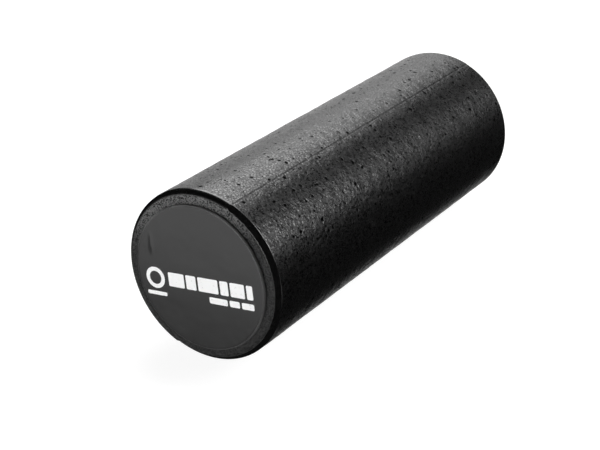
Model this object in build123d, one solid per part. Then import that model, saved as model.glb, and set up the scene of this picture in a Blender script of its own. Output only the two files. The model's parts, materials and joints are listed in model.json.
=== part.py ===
from build123d import *
import os

# A solid foam roller, moulded in one piece from expanded beads, with a soft printed pad on each end.
# The roller's axis runs along Y, its front end faces -Y and +Z is up.
# The origin is the roller's centre. Every size is in millimetres and every angle in degrees.

# body
roller_diameter = 150.0       # across the rolling surface
overall_length = 425.0        # over the two end pads
shoulder_length = 4.4         # bevel between rolling surface and end face, along the axis
shoulder_height = 4.0         # the same bevel, across the radius
shoulder_round = 0.6          # radius on both edges of the bevel

# mould parting lines, one each side of the roller
parting_angle = 67.5          # from +X towards +Z; the second line is opposite
parting_width = 0.6
parting_depth = 0.4

# end pads
adhesive_diameter = 124.0
adhesive_thickness = 0.15
pad_diameter = 127.0
pad_thickness = 3.2
pad_round = 1.6               # on the pad's outer edge
print_thickness = 0.12        # the ink lies flush in the pad's face

# printed mark, drawn with its own x to the right and y up, then turned on the pad
mark_turn = 6.5               # anticlockwise, as seen facing the end
mark_ring_centre = (-45.5, -5.5)
mark_ring_diameter = 19.0
mark_ring_stroke = 3.6
mark_floor_centre = (-45.5, -19.5)
mark_floor_size = (20.0, 3.4)
title_left = -32.0
title_middle = -5.0
title_height = 12.5
title_widths = (16.0, 10.0, 20.0, 8.0, 14.0, 6.0)
subtitle_left = 8.0
subtitle_middle = -17.6
subtitle_height = 5.6
subtitle_widths = (18.0, 10.0, 12.0)
bar_gap = 2.0
bar_round = 1.2

# worked-out values
roller_radius = roller_diameter / 2
face_radius = roller_radius - shoulder_height
pad_face = overall_length / 2                         # distance from the centre to each pad's face
pad_back = pad_face - pad_thickness
end_face = pad_back - adhesive_thickness
straight_end = end_face - shoulder_length


def near(value, target):
    return abs(value - target) < 0.01


def body_profile():
    """Half section of the body: x is the radius and y is the axis."""
    half = [
        (0, end_face),
        (face_radius, end_face),
        (roller_radius, straight_end),
    ]
    other_half = [(r, -y) for r, y in reversed(half)]
    profile = make_face(Polyline(*half, *other_half, close=True))
    bevel_corners = [
        v for v in profile.vertices()
        if near(v.X, roller_radius) or near(v.X, face_radius)
    ]
    return fillet(bevel_corners, shoulder_round)


def parting_cutter(angle):
    """A thin bar along the rolling surface, for the line where two mould halves met."""
    bar = Box(2 * parting_depth, overall_length, parting_width)
    return Rot(0, -angle, 0) * Pos(roller_radius, 0, 0) * bar


def foam_body():
    body = revolve(body_profile(), axis=Axis.Y)
    return body - parting_cutter(parting_angle) - parting_cutter(parting_angle + 180)


def front_plane(distance):
    """A plane facing -Y at this distance in front of the centre, with its y axis up."""
    return Plane(origin=(0, -distance, 0), x_dir=(1, 0, 0), z_dir=(0, -1, 0))


def disc(diameter, face, thickness):
    """A disc on the front end, from its outer face inwards."""
    return extrude(front_plane(face) * Circle(diameter / 2), amount=-thickness)


def bar_row(left, middle, height, widths):
    """A row of round-cornered bars, each with its own width."""
    bars = Sketch()
    start = left
    for width in widths:
        bars += Pos(start + width / 2, middle) * RectangleRounded(width, height, bar_round)
        start += width + bar_gap
    return bars


def mark_sketch():
    """The printed mark: a ring rolling on a line, with a long and a short row of bars."""
    ring_radius = mark_ring_diameter / 2
    ring = Circle(ring_radius) - Circle(ring_radius - mark_ring_stroke)
    mark = Pos(*mark_ring_centre) * ring
    mark += Pos(*mark_floor_centre) * RectangleRounded(*mark_floor_size, bar_round)
    mark += bar_row(title_left, title_middle, title_height, title_widths)
    mark += bar_row(subtitle_left, subtitle_middle, subtitle_height, subtitle_widths)
    return Rot(0, 0, mark_turn) * mark


def pad_print():
    return extrude(front_plane(pad_face) * mark_sketch(), amount=-print_thickness)


def end_pad():
    """A soft disc with a rounded outer edge and pockets for the ink."""
    pad = disc(pad_diameter, pad_face, pad_thickness)
    front_edge = pad.edges().sort_by(Axis.Y)[0]
    return fillet(front_edge, pad_round) - pad_print()


end_layers = {
    "pad_adhesive": disc(adhesive_diameter, pad_back, adhesive_thickness),
    "end_pad": end_pad(),
    "pad_print": pad_print(),
}

os.makedirs("parts", exist_ok=True)
export_step(foam_body(), "parts/foam_body.step")
for layer, solid in end_layers.items():
    export_step(solid, f"parts/front_{layer}.step")
    export_step(Rot(0, 0, 180) * solid, f"parts/rear_{layer}.step")
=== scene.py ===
import json
import math

import bmesh
import bpy
from mathutils import Matrix, Vector, noise

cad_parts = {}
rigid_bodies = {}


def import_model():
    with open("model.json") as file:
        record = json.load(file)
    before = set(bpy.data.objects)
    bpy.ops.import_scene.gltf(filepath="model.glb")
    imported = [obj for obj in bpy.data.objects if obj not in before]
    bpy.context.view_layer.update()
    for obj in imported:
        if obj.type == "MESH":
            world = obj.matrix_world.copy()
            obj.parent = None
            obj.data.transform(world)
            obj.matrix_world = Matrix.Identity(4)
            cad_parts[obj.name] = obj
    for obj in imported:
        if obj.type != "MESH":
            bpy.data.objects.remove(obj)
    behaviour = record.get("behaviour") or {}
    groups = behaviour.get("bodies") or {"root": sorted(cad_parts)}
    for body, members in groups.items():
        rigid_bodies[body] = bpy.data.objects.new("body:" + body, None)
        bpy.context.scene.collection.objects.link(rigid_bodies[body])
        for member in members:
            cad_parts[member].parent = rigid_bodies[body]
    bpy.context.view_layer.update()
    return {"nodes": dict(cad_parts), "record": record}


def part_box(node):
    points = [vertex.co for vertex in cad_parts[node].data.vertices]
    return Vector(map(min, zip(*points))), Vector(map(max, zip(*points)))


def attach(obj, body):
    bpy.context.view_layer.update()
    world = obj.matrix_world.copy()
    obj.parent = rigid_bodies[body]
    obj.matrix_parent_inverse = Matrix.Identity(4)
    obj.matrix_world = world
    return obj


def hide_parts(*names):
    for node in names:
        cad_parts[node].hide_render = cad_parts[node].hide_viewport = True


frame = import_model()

# Foam roller lying on its side, in metres. Its axis runs along Y and its front end faces -Y.

mounts = {mount["name"]: mount for mount in frame["record"]["mounts"]}
rollerRadius = mounts["rolling_surface"]["dims"]["r_mm"] / 1000
straightHalf = mounts["rolling_surface"]["dims"]["length_mm"] / 2000
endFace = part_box("foam_body")[1].y
padBack = -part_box("front_end_pad")[1].y
padFace = -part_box("front_end_pad")[0].y
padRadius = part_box("front_end_pad")[1].x
halfTurn = Matrix.Rotation(math.pi, 4, "Z")

body = {
    "rimDrop": 0.004,          # how much smaller the end face is than the roller, in radius
    "partingAngle": 67.5,      # where the mould halves met, from +X towards +Z, in degrees
    "beadSize": 0.0024,
    "beadRelief": 0.00002,
    "pebbleSize": 0.0026,
    "pebbleRelief": 0.00012,
    "lumpSize": 0.009,
    "lumpRelief": 0.00026,
    "waveSize": 0.050,
    "waveRelief": 0.00030,
    "voidSpacing": 0.0055,
    "pinholeSpacing": 0.0030,
    "holeRarity": 0.5,         # the share of cells that hold no hole
    "voidGrowth": 0.66,
    "pinholeGrowth": 0.52,
    "holeEdge": 0.012,
    "voidDepth": 0.00018,
    "beadDrift": 0.0012,       # how far the beads wander from an even packing
    "driftScale": 180.0,
    "smoothHalf": 0.4,         # how much less pebbled the first mould half is
    "partingDepth": 0.00022,
    "partingWidth": 0.0007,
    "partingStep": 0.00010,    # one half stands this much higher than the other
    "bevelBulge": 0.0008,      # the first mould half leaves a rounder rim
    "grainSize": 0.0024,
    "grainRelief": 0.0008,
    "faceFall": 0.0014,        # the torn end face falls away towards its outer edge
    "lipHeight": 0.0010,
    "spacing": 0.0008,
    "stepsPerWedge": 36,       # the wedge is a sixteenth of a turn
}
faceRadius = rollerRadius - body["rimDrop"]
partingAngle = math.radians(body["partingAngle"])
partingNormal = Vector((-math.sin(partingAngle), 0, math.cos(partingAngle)))


# small helpers that wire nodes, in shader trees and in geometry trees alike

def addNode(tree, kind, inputs=(), **settings):
    made = tree.nodes.new(kind)
    for name, value in settings.items():
        setattr(made, name, value)
    pairs = inputs.items() if isinstance(inputs, dict) else enumerate(inputs)
    for key, value in pairs:
        if isinstance(value, bpy.types.NodeSocket):
            tree.links.new(value, made.inputs[key])
        else:
            made.inputs[key].default_value = value
    return made


def maths(tree, operation, *values):
    return addNode(tree, "ShaderNodeMath", values, operation=operation).outputs[0]


def vectorMaths(tree, operation, *values):
    made = addNode(tree, "ShaderNodeVectorMath", values, operation=operation)
    return made.outputs["Value" if operation in ("LENGTH", "DOT_PRODUCT") else "Vector"]


def smooth(tree, value, start, end, low=0.0, high=1.0):
    # low until value reaches start, high from end on
    inputs = (value, start, end, low, high)
    return addNode(tree, "ShaderNodeMapRange", inputs, interpolation_type="SMOOTHSTEP").outputs[0]


def noiseField(tree, position, size, detail=2.0, roughness=0.5):
    inputs = {"Vector": position, "Scale": 1 / size, "Detail": detail, "Roughness": roughness}
    return addNode(tree, "ShaderNodeTexNoise", inputs).outputs[0]


def cellField(tree, position, size, feature="DISTANCE_TO_EDGE", output="Distance"):
    inputs = {"Vector": position, "Scale": 1 / size}
    return addNode(tree, "ShaderNodeTexVoronoi", inputs, feature=feature).outputs[output]


def centred(tree, value, amount):
    # a 0 to 1 noise as a height from -amount to +amount
    return maths(tree, "MULTIPLY", maths(tree, "SUBTRACT", value, 0.5), 2 * amount)


def summed(tree, *values):
    total = values[0]
    for value in values[1:]:
        total = maths(tree, "ADD", total, value)
    return total


# where each part of the body's surface lies, from its position alone

def bodyZones(tree, position):
    radius = vectorMaths(tree, "LENGTH", vectorMaths(tree, "MULTIPLY", position, (1, 0, 1)))
    along = maths(tree, "ABSOLUTE", vectorMaths(tree, "DOT_PRODUCT", position, (0, 1, 0)))
    wobble = centred(tree, noiseField(tree, position, 0.03), 0.0004)
    across = maths(tree, "ADD", vectorMaths(tree, "DOT_PRODUCT", position, tuple(partingNormal)), wobble)
    return {
        "radius": radius,
        "along": along,
        "side": smooth(tree, along, straightHalf + 0.0002, straightHalf - 0.0014),
        "endFace": smooth(tree, radius, faceRadius + 0.0003, faceRadius - 0.0005),
        "covered": smooth(tree, radius, padRadius, padRadius - 0.001),
        "firstHalf": smooth(tree, across, -0.0008, 0.0008),
        "parting": maths(tree, "ABSOLUTE", across),
    }


# the beads, in step in the mesh and in its material

def holes(tree, position, spacing, growth):
    # 1 inside scattered round holes of mixed size
    middle = cellField(tree, position, spacing, "F1")
    colour = cellField(tree, position, spacing, "F1", "Color")
    chance = addNode(tree, "ShaderNodeSeparateXYZ", (colour,)).outputs[0]
    reach = maths(tree, "MULTIPLY", maths(tree, "SUBTRACT", chance, body["holeRarity"]), growth)
    return smooth(tree, maths(tree, "SUBTRACT", middle, reach), body["holeEdge"], -body["holeEdge"])


def beadFields(tree, position):
    inputs = {"Vector": position, "Scale": body["driftScale"], "Detail": 1.0}
    drift = addNode(tree, "ShaderNodeTexNoise", inputs).outputs["Color"]
    bent = vectorMaths(tree, "MULTIPLY_ADD", drift, (body["beadDrift"],) * 3, position)
    edge = cellField(tree, bent, body["beadSize"])
    tone = addNode(tree, "ShaderNodeSeparateXYZ", (cellField(tree, bent, body["beadSize"], "F1", "Color"),))
    return {
        "dome": smooth(tree, edge, 0.0, 0.30),
        "tone": tone.outputs[0],
        "void": maths(
            tree,
            "MAXIMUM",
            holes(tree, bent, body["voidSpacing"], body["voidGrowth"]),
            holes(tree, position, body["pinholeSpacing"], body["pinholeGrowth"]),
        ),
    }


def bodyHeight(tree, position):
    zones = bodyZones(tree, position)
    beads = beadFields(tree, position)
    waves = centred(tree, noiseField(tree, position, body["waveSize"], 1.0), body["waveRelief"])
    lumps = centred(tree, noiseField(tree, position, body["lumpSize"]), body["lumpRelief"])
    domes = maths(tree, "MULTIPLY", maths(tree, "SUBTRACT", beads["dome"], 1.0), body["beadRelief"])
    voids = maths(tree, "MULTIPLY", beads["void"], -body["voidDepth"])
    groove = smooth(tree, zones["parting"], body["partingWidth"], 0.0001, 0.0, -body["partingDepth"])
    step = maths(tree, "MULTIPLY", zones["firstHalf"], body["partingStep"])
    pebbles = centred(tree, noiseField(tree, position, body["pebbleSize"], 0.5), body["pebbleRelief"])
    # the first mould half is the smoother one
    evenness = maths(tree, "MULTIPLY_ADD", zones["firstHalf"], -body["smoothHalf"], 1.0)
    pebbles = maths(tree, "MULTIPLY", pebbles, evenness)
    skin = summed(tree, waves, lumps, pebbles, domes, voids, groove, step)
    # the end face is torn between the pad and the rim, and falls away to a thin lip
    ring = (zones["radius"], padRadius - 0.001, faceRadius)
    outward = addNode(tree, "ShaderNodeMapRange", ring).outputs[0]
    fall = maths(tree, "MULTIPLY", maths(tree, "POWER", outward, 1.5), -body["faceFall"])
    crumbs = centred(tree, noiseField(tree, position, body["grainSize"], 3.0, 0.6), body["grainRelief"])
    lip = smooth(tree, zones["radius"], faceRadius - 0.0012, faceRadius - 0.0004, 0.0, body["lipHeight"])
    bare = maths(tree, "SUBTRACT", 1.0, zones["covered"])
    torn = maths(tree, "MULTIPLY", summed(tree, fall, crumbs, lip), bare)
    rise = addNode(tree, "ShaderNodeMapRange", (zones["along"], straightHalf, endFace)).outputs[0]
    bulge = maths(tree, "MULTIPLY", rise, maths(tree, "SUBTRACT", 1.0, rise))
    bulgeHeight = maths(tree, "MULTIPLY", zones["firstHalf"], 4 * body["bevelBulge"])
    bulge = maths(tree, "MULTIPLY", bulge, bulgeHeight)
    skin = maths(tree, "MULTIPLY", skin, zones["side"])
    return summed(tree, skin, maths(tree, "MULTIPLY", torn, zones["endFace"]), bulge)


def reliefTree():
    tree = bpy.data.node_groups.new("beadRelief", "GeometryNodeTree")
    tree.interface.new_socket("Geometry", in_out="INPUT", socket_type="NodeSocketGeometry")
    tree.interface.new_socket("Geometry", in_out="OUTPUT", socket_type="NodeSocketGeometry")
    start = tree.nodes.new("NodeGroupInput")
    position = tree.nodes.new("GeometryNodeInputPosition").outputs[0]
    normal = tree.nodes.new("GeometryNodeInputNormal").outputs[0]
    offset = vectorMaths(tree, "SCALE", normal)
    tree.links.new(bodyHeight(tree, position), offset.node.inputs["Scale"])
    moved = addNode(tree, "GeometryNodeSetPosition", {"Geometry": start.outputs[0], "Offset": offset})
    end = tree.nodes.new("NodeGroupOutput")
    tree.links.new(moved.outputs[0], end.inputs[0])
    return tree


def spinProfile(corners, steps):
    # a closed solid of revolution about Y. Each corner is (radius, place along Y, spacing to the next).
    # One wedge is spun, then doubled four times, which is far quicker than one long spin
    mesh = bmesh.new()
    points = [mesh.verts.new((radius, along, 0)) for radius, along, _ in corners]
    runs = [mesh.edges.new(pair) for pair in zip(points, points[1:])]
    for run, (_, _, spacing) in zip(runs, corners):
        cuts = round(run.calc_length() / spacing) - 1
        if cuts > 0:
            bmesh.ops.subdivide_edges(mesh, edges=[run], cuts=cuts)
    outline = mesh.verts[:] + mesh.edges[:]
    bmesh.ops.spin(mesh, geom=outline, cent=(0, 0, 0), axis=(0, 1, 0), angle=math.tau / 16, steps=steps)
    for share in (16, 8, 4, 2):
        made = bmesh.ops.duplicate(mesh, geom=mesh.verts[:] + mesh.edges[:] + mesh.faces[:])["geom"]
        copied = [item for item in made if isinstance(item, bmesh.types.BMVert)]
        bmesh.ops.rotate(mesh, verts=copied, cent=(0, 0, 0), matrix=Matrix.Rotation(math.tau / share, 3, "Y"))
    bmesh.ops.remove_doubles(mesh, verts=mesh.verts[:], dist=0.000001)
    bmesh.ops.recalc_face_normals(mesh, faces=mesh.faces[:])
    return mesh


def finishPiece(name, mesh, material):
    for face in mesh.faces:
        face.smooth = True
    data = bpy.data.meshes.new(name)
    mesh.to_mesh(data)
    mesh.free()
    data.materials.append(material)
    piece = bpy.data.objects.new(name, data)
    bpy.context.scene.collection.objects.link(piece)
    return piece


def bakeModifiers(piece):
    graph = bpy.context.evaluated_depsgraph_get()
    data = bpy.data.meshes.new_from_object(piece.evaluated_get(graph))
    piece.modifiers.clear()
    piece.data = data


def makeBody(material):
    gap = body["spacing"]
    crease = 0.0003            # tight rows each side of an edge keep it crisp
    half = [
        (0, endFace, 0.006),
        (padRadius - 0.002, endFace, gap),
        (faceRadius - crease, endFace, crease),
        (faceRadius, endFace - crease * 0.4, crease),
        (faceRadius + crease, endFace - crease * 1.4, gap),
        (rollerRadius - crease, straightHalf + crease * 1.2, crease),
        (rollerRadius - crease * 0.3, straightHalf + crease * 0.2, crease),
    ]
    middle = [(rollerRadius, straightHalf - crease, gap), (rollerRadius, crease - straightHalf, crease)]
    mirrored = []
    for index in range(len(half) - 1, -1, -1):
        radius, along, _ = half[index]
        mirrored.append((radius, -along, half[index - 1][2]))
    piece = finishPiece("foamBody", spinProfile(half + middle + mirrored, body["stepsPerWedge"]), material)
    piece.modifiers.new("relief", "NODES").node_group = reliefTree()
    bakeModifiers(piece)
    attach(piece, "root")
    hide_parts("foam_body")
    print("body:", len(piece.data.polygons), "faces")


pad = {
    "round": 0.0016,
    "sink": 0.00004,           # the ink stands this much proud of the pad
    "flatLow": -0.025,         # the pad stays flat between these heights, where the mark is printed
    "flatHigh": 0.009,
    "waveSize": 0.035,
    "waveLift": 0.00005,
    "dimpleLift": 0.00002,
    "stepsPerWedge": 16,
    "spacing": 0.0012,
    "creaseFoot": (-0.0484, 0.0085),
    "creaseTop": (-0.0478, 0.0300),
    "creaseLift": 0.00045,
    "creaseWidth": 0.0011,
    "rimWander": 0.00035,
}


def padProfile():
    face, gap, turn = padFace - pad["sink"], pad["spacing"], pad["round"]
    corners = [(0, -face, gap), (padRadius - turn, -face, gap)]
    for step in range(1, 9):
        angle = math.pi / 2 * step / 8
        radius = padRadius - turn + turn * math.sin(angle)
        corners.append((radius, -face + turn - turn * math.cos(angle), gap))
    corners.append((padRadius, -padBack - 0.0002, gap))
    corners.append((padRadius - 0.0003, -padBack, 0.004))
    corners.append((0, -padBack, gap))
    return corners


def creaseLift(place):
    # a short fold across the face, fading out at both ends
    foot, top = Vector(pad["creaseFoot"]), Vector(pad["creaseTop"])
    along = (place - foot).dot(top - foot) / (top - foot).length_squared
    off = (place - foot - (top - foot) * along).length * math.copysign(1, place.x - foot.x)
    fade = math.sin(math.pi * along) if 0 < along < 1 else 0
    return pad["creaseLift"] * fade * math.exp(-((off / pad["creaseWidth"]) ** 2))


def makePad(name, node, material, seed, turned, creased):
    mesh = spinProfile(padProfile(), pad["stepsPerWedge"])
    shift = Vector((seed * 3.1, seed * 1.7, 0))
    low, high, fade = pad["flatLow"], pad["flatHigh"], 0.008
    for vert in mesh.verts:
        place = Vector((vert.co.x, vert.co.z))
        reach = place.length / padRadius
        flat = Vector((vert.co.x, 0, vert.co.z))
        broad = noise.noise(flat / pad["waveSize"] + shift) * pad["waveLift"]
        small = noise.noise(flat / 0.007 + shift) * pad["dimpleLift"]
        printed = min(1.0, max(0.0, (low - place.y) / fade, (place.y - high) / fade))
        lift = (broad + small) * printed
        if creased:
            lift += creaseLift(place) * printed
        if vert.co.y < -padBack - 0.0004:
            vert.co.y -= lift * min(1.0, 12 * (1 - reach) + 0.25)
        if reach > 0.95:
            angle = math.atan2(place.y, place.x)
            around = Vector((math.cos(angle), math.sin(angle), 0)) * 3
            wander = noise.fractal(around + shift, 0.6, 2.2, 4) * pad["rimWander"]
            vert.co += flat.normalized() * wander * (reach - 0.95) / 0.05
    if turned:
        bmesh.ops.transform(mesh, matrix=halfTurn, verts=mesh.verts[:])
    piece = finishPiece(name, mesh, material)
    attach(piece, "root")
    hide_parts(node)
    print("pad:", name)


# materials

def newMaterial(name):
    material = bpy.data.materials.new(name)
    material.use_nodes = True
    tree = material.node_tree
    tree.nodes.clear()
    shader = tree.nodes.new("ShaderNodeBsdfPrincipled")
    output = tree.nodes.new("ShaderNodeOutputMaterial")
    tree.links.new(shader.outputs[0], output.inputs[0])
    position = tree.nodes.new("ShaderNodeTexCoord").outputs["Object"]
    return material, tree, shader, position


def mixColours(tree, factor, first, second):
    made = tree.nodes.new("ShaderNodeMix")
    made.data_type = "RGBA"
    for socket, value in ((made.inputs["Factor"], factor), (made.inputs[6], first), (made.inputs[7], second)):
        if isinstance(value, bpy.types.NodeSocket):
            tree.links.new(value, socket)
        else:
            socket.default_value = value
    return made.outputs[2]


def grey(level):
    return (level, level, level, 1.0)


def bumpFrom(tree, shader, height):
    bump = addNode(tree, "ShaderNodeBump", {"Height": height, "Distance": 1.0, "Strength": 1.0})
    tree.links.new(bump.outputs[0], shader.inputs["Normal"])


def fineGrainGroup():
    # a fine even grain that every moulded or printed surface here has, at its own size and depth
    group = bpy.data.node_groups.new("fineGrain", "ShaderNodeTree")
    group.interface.new_socket("Position", in_out="INPUT", socket_type="NodeSocketVector")
    for label in ("Size", "Depth"):
        group.interface.new_socket(label, in_out="INPUT", socket_type="NodeSocketFloat")
    for label in ("Height", "Mask"):
        group.interface.new_socket(label, in_out="OUTPUT", socket_type="NodeSocketFloat")
    start, end = group.nodes.new("NodeGroupInput"), group.nodes.new("NodeGroupOutput")
    scaled = maths(group, "DIVIDE", 1.0, start.outputs["Size"])
    inputs = {"Vector": start.outputs["Position"], "Scale": scaled, "Detail": 3.0}
    speckle = addNode(group, "ShaderNodeTexNoise", inputs)
    middled = maths(group, "SUBTRACT", speckle.outputs[0], 0.5)
    height = maths(group, "MULTIPLY", middled, start.outputs["Depth"])
    group.links.new(height, end.inputs["Height"])
    group.links.new(speckle.outputs[0], end.inputs["Mask"])
    return group


fineGrain = fineGrainGroup()


def grain(tree, position, size, depth):
    made = addNode(tree, "ShaderNodeGroup", node_tree=fineGrain)
    tree.links.new(position, made.inputs["Position"])
    made.inputs["Size"].default_value = size
    made.inputs["Depth"].default_value = depth
    return made.outputs["Height"], made.outputs["Mask"]


topLightSide = {
    "towards": (-0.3, 0, 0.954),   # the top, a little to the left
    "from": 0.018,
    "full": 0.066,
}


def topLightMask(tree, position):
    # 0 on the lower part of the roller, 1 at its top and a little to the left, where painted highlight goes
    height = vectorMaths(tree, "DOT_PRODUCT", position, topLightSide["towards"])
    return smooth(tree, height, topLightSide["from"], topLightSide["full"])


foamLook = {
    "skinColour": 0.0014,
    "paleBead": 0.0026,
    "tornColour": 0.016,
    "tornTopHighlight": 0.150,          # painted highlight: paler towards the top, where the light falls
    # painted shade in the hollows of the torn face
    "tornHollowShade": 0.006,
    "skinRoughness": 0.21,
    "beadBump": 0.00003,
    "pebbleSize": 0.0018,
    "pebbleBump": 0.00008,
    # painted shade inside the holes
    "holeShade": 0.0008,
    "pitSize": 0.0023,         # small pits scattered over the skin, painted in as dark shade, in the finish only
    "pitFrom": 0.45,
    "pitFull": 0.38,
    "pitShade": 0.85,
    "smoothHalf": 0.6,         # how much fainter they are on the first mould half
    "creviceShade": 0.6,
    "hollowShade": 0.55,
    "crumbSize": 0.0012,
    "crumbBump": 0.0005,
    "tornRoughness": 0.6,
}


def beadFoam():
    material, tree, shader, position = newMaterial("beadFoam")
    zones = bodyZones(tree, position)
    beads = beadFields(tree, position)
    skin = mixColours(tree, beads["tone"], grey(foamLook["skinColour"]), grey(foamLook["paleBead"]))
    # painted shade: the holes are darker than the skin
    skin = mixColours(tree, beads["void"], skin, grey(foamLook["holeShade"]))
    crumbHeight, crumbMask = grain(tree, position, foamLook["crumbSize"], foamLook["crumbBump"])
    lowTorn, highTorn = grey(foamLook["tornColour"]), grey(foamLook["tornTopHighlight"])
    # painted highlight: the torn face is paler towards the top
    tornWithTopHighlight = mixColours(tree, topLightMask(tree, position), lowTorn, highTorn)
    crumb = smooth(tree, crumbMask, 0.38, 0.60)
    # painted shade: the hollows between the crumbs are darker
    torn = mixColours(tree, crumb, grey(foamLook["tornHollowShade"]), tornWithTopHighlight)
    tree.links.new(mixColours(tree, zones["endFace"], skin, torn), shader.inputs["Base Color"])
    crevice = maths(tree, "SUBTRACT", 1.0, beads["dome"])
    crevice = maths(tree, "MULTIPLY", maths(tree, "POWER", crevice, 1.4), zones["side"])
    patch = noiseField(tree, position, 0.025, 3.0)
    blotch = smooth(tree, noiseField(tree, position, 0.006, 2.0), 0.60, 0.70)
    skinRoughness = summed(
        tree,
        foamLook["skinRoughness"] - 0.05,
        maths(tree, "MULTIPLY", patch, 0.10),
        maths(tree, "MULTIPLY", beads["tone"], 0.06),
        maths(tree, "MULTIPLY", maths(tree, "MULTIPLY", blotch, zones["side"]), 0.12),
        maths(tree, "MULTIPLY", crevice, 0.20),
    )
    byZone = {0: zones["endFace"], 2: skinRoughness, 3: foamLook["tornRoughness"]}
    roughness = addNode(tree, "ShaderNodeMix", byZone).outputs[0]
    pitted = maths(tree, "MULTIPLY", beads["void"], zones["side"])
    roughness = addNode(tree, "ShaderNodeMix", {0: pitted, 2: roughness, 3: 1.0}).outputs[0]
    tree.links.new(roughness, shader.inputs["Roughness"])
    # painted shade: holes, pits, crevices and the torn face's hollows are made black metal, which reflects
    # nothing, in place of the shade inside them
    speckle = noiseField(tree, position, foamLook["pitSize"], 1.0)
    pits = smooth(tree, speckle, foamLook["pitFrom"], foamLook["pitFull"], 0.0, foamLook["pitShade"])
    fainter = maths(tree, "MULTIPLY_ADD", zones["firstHalf"], -foamLook["smoothHalf"], 1.0)
    pits = maths(tree, "MULTIPLY", pits, fainter)
    creases = maths(tree, "MULTIPLY", crevice, foamLook["creviceShade"])
    unlit = maths(tree, "MULTIPLY", maths(tree, "MAXIMUM", pits, creases), zones["side"])
    ringShade = maths(tree, "MULTIPLY", zones["endFace"], foamLook["hollowShade"])
    # painted shade: the hollows of the torn face are made black metal as well
    hollow = maths(tree, "MULTIPLY", maths(tree, "SUBTRACT", 1.0, crumb), ringShade)
    unlit = maths(tree, "MAXIMUM", maths(tree, "MAXIMUM", pitted, unlit), hollow)
    tree.links.new(unlit, shader.inputs["Metallic"])
    beadHeight = maths(tree, "MULTIPLY", beads["dome"], foamLook["beadBump"])
    pebbles = noiseField(tree, position, foamLook["pebbleSize"], 0.0)
    beadHeight = maths(tree, "MULTIPLY_ADD", pebbles, foamLook["pebbleBump"], beadHeight)
    skinHeight = maths(tree, "MULTIPLY", beadHeight, zones["side"])
    tornHeight = maths(tree, "MULTIPLY", crumbHeight, zones["endFace"])
    bumpFrom(tree, shader, maths(tree, "ADD", skinHeight, tornHeight))
    shader.inputs["IOR"].default_value = 1.5
    return material


vinylLook = {
    "faceColour": 0.010,
    "cloudColour": 0.014,
    "edgeHighlight": 0.045,       # painted highlight: the cut edge is made paler, and paler still at the top, in place of the light its rounded rim catches; it is also rough
    "edgeTopHighlight": 0.15,
    "roughness": 0.10,
    "edgeRoughness": 0.7,
}


def softVinyl():
    material, tree, shader, position = newMaterial("softVinyl")
    radius = vectorMaths(tree, "LENGTH", vectorMaths(tree, "MULTIPLY", position, (1, 0, 1)))
    edge = smooth(tree, radius, padRadius - 0.0016, padRadius - 0.0006)
    cloud = noiseField(tree, position, 0.03, 4.0)
    face = mixColours(tree, cloud, grey(vinylLook["faceColour"]), grey(vinylLook["cloudColour"]))
    # painted highlight: the rounded rim is paler, most of all at the top
    rimHighlight = mixColours(tree, topLightMask(tree, position), grey(vinylLook["edgeHighlight"]), grey(vinylLook["edgeTopHighlight"]))
    colour = mixColours(tree, edge, face, rimHighlight)
    tree.links.new(colour, shader.inputs["Base Color"])
    height, mask = grain(tree, position, 0.0006, 0.000006)
    rough = summed(
        tree,
        vinylLook["roughness"],
        maths(tree, "MULTIPLY", cloud, 0.05),
        maths(tree, "MULTIPLY", mask, 0.03),
        maths(tree, "MULTIPLY", edge, vinylLook["edgeRoughness"] - vinylLook["roughness"]),
    )
    tree.links.new(rough, shader.inputs["Roughness"])
    bumpFrom(tree, shader, height)
    shader.inputs["IOR"].default_value = 1.5
    return material


def whiteInk():
    material, tree, shader, position = newMaterial("whiteInk")
    height, mask = grain(tree, position, 0.0005, 0.00001)
    worn = smooth(tree, noiseField(tree, position, 0.0022, 3.0), 0.30, 0.36)
    tree.links.new(mixColours(tree, worn, grey(0.74), grey(0.94)), shader.inputs["Base Color"])
    tree.links.new(maths(tree, "MULTIPLY_ADD", mask, 0.15, 0.38), shader.inputs["Roughness"])
    bumpFrom(tree, shader, height)
    return material


def adhesiveFilm():
    material, tree, shader, position = newMaterial("adhesiveFilm")
    height, mask = grain(tree, position, 0.0015, 0.00003)
    colour = mixColours(tree, mask, (0.42, 0.40, 0.33, 1), (0.58, 0.55, 0.47, 1))
    tree.links.new(colour, shader.inputs["Base Color"])
    tree.links.new(maths(tree, "MULTIPLY_ADD", mask, 0.2, 0.5), shader.inputs["Roughness"])
    bumpFrom(tree, shader, height)
    return material


def dressNode(node, material):
    # a carried-over node keeps its shape and gets its finish
    data = frame["nodes"][node].data
    data.materials.clear()
    data.materials.append(material)


# stage

def makeFloor():
    mesh = bmesh.new()
    bmesh.ops.create_circle(mesh, cap_ends=True, segments=64, radius=6)
    bmesh.ops.translate(mesh, verts=mesh.verts[:], vec=(0, 0, -rollerRadius - 0.0004))
    material, tree, shader, _ = newMaterial("paleFloor")
    shader.inputs["Base Color"].default_value = grey(0.2)
    shader.inputs["Roughness"].default_value = 0.9
    shader.inputs["Emission Color"].default_value = grey(1.0)
    shader.inputs["Emission Strength"].default_value = 0.92
    piece = finishPiece("floor", mesh, material)
    piece.visible_glossy = False


ambient = 0.017

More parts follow.
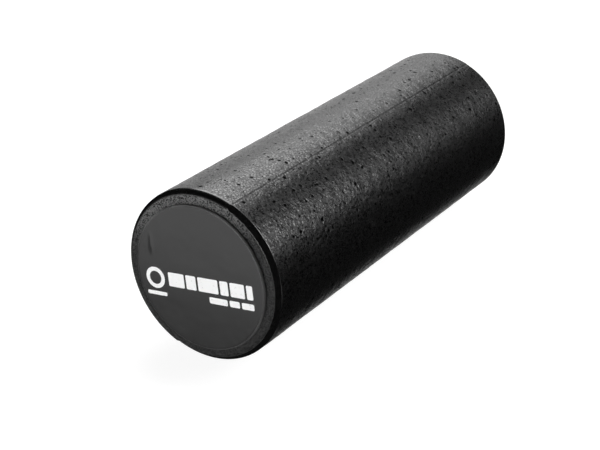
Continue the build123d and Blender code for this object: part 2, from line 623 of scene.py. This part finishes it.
# soft boxes all round, far off, each (azimuth from +Y towards +X, elevation, half width, half height,
# roll, the part of it that is at full strength, strength). Both halves are in radians, at a distance of 1
softBoxes = {
    "keyBehindLeft": (-22, 52, 0.39, 0.61, -47, 0.60, 6.3),
    "lowBehindLeft": (-29, -2, 0.38, 0.98, 14, 0.62, 0.97),
    "behindRight": (48, 31, 0.24, 0.38, -9, 0.63, 7.2),
    "slopingRight": (56, 31, 0.22, 0.67, 32, 0.45, 5.1),
    "lowRight": (82, -19, 0.30, 0.38, 6, 0.17, 1.8),
    "frontReflector": (-157, -14.2, 0.90, 0.29, 14, 0.95, 0.99),
    "frontLow": (-146, -33, 0.80, 0.62, -5, 0.60, 0.33),
    "frontFill": (176, 3, 0.34, 0.30, 0, 0.50, 9.8),
}


def makeWorld():
    world = bpy.data.worlds.new("studio")
    bpy.context.scene.world = world
    world.use_nodes = True
    tree = world.node_tree
    tree.nodes.clear()
    direction = tree.nodes.new("ShaderNodeTexCoord").outputs["Generated"]
    total = ambient
    for azimuth, elevation, width, height, roll, full, strength in softBoxes.values():
        turn, tilt, lean = math.radians(azimuth), math.radians(elevation), math.radians(roll)
        aim = Vector((math.sin(turn) * math.cos(tilt), math.cos(turn) * math.cos(tilt), math.sin(tilt)))
        level = Vector((math.cos(turn), -math.sin(turn), 0))
        side = level * math.cos(lean) + level.cross(aim) * math.sin(lean)
        up = side.cross(aim)
        offset = vectorMaths(tree, "SUBTRACT", direction, tuple(aim))
        reach = (side / width, up / height, aim / min(width, height))
        parts = [vectorMaths(tree, "DOT_PRODUCT", offset, tuple(axis)) for axis in reach]
        distance = vectorMaths(tree, "LENGTH", addNode(tree, "ShaderNodeCombineXYZ", parts).outputs[0])
        total = maths(tree, "ADD", total, smooth(tree, distance, 1.0, full, 0.0, strength))
    # seen directly, past the edge of the floor, the studio is as pale as the floor
    seen = tree.nodes.new("ShaderNodeLightPath").outputs["Is Camera Ray"]
    strength = addNode(tree, "ShaderNodeMix", {0: seen, 2: total, 3: 1.0}).outputs[0]
    background = addNode(tree, "ShaderNodeBackground", {"Color": grey(1.0), "Strength": strength})
    output = tree.nodes.new("ShaderNodeOutputWorld")
    tree.links.new(background.outputs[0], output.inputs[0])


view = {
    "azimuth": 32.355,
    "elevation": 24.695,
    "distance": 1.27,
    "aim": (0.0206, -0.0927, 0.0064),
    "lens": 88.43,
}


def makeCamera():
    turn, tilt = math.radians(view["azimuth"]), math.radians(view["elevation"])
    back = Vector((math.sin(turn) * math.cos(tilt), -math.cos(turn) * math.cos(tilt), math.sin(tilt)))
    data = bpy.data.cameras.new("camera")
    data.lens = view["lens"]
    data.sensor_width = 36
    data.clip_start = 0.01
    camera = bpy.data.objects.new("camera", data)
    camera.location = Vector(view["aim"]) + back * view["distance"]
    camera.rotation_euler = back.to_track_quat("Z", "Y").to_euler()
    bpy.context.scene.collection.objects.link(camera)
    bpy.context.scene.camera = camera
    bpy.context.scene.view_settings.view_transform = "Standard"


makeCamera()
makeWorld()
makeFloor()
print("stage ready")
makeBody(beadFoam())
vinyl = softVinyl()
makePad("frontPad", "front_end_pad", vinyl, 1, False, True)
makePad("rearPad", "rear_end_pad", vinyl, 2, True, False)
ink, film = whiteInk(), adhesiveFilm()
for end in ("front", "rear"):
    dressNode(end + "_pad_print", ink)
    dressNode(end + "_pad_adhesive", film)
print("finishes ready")
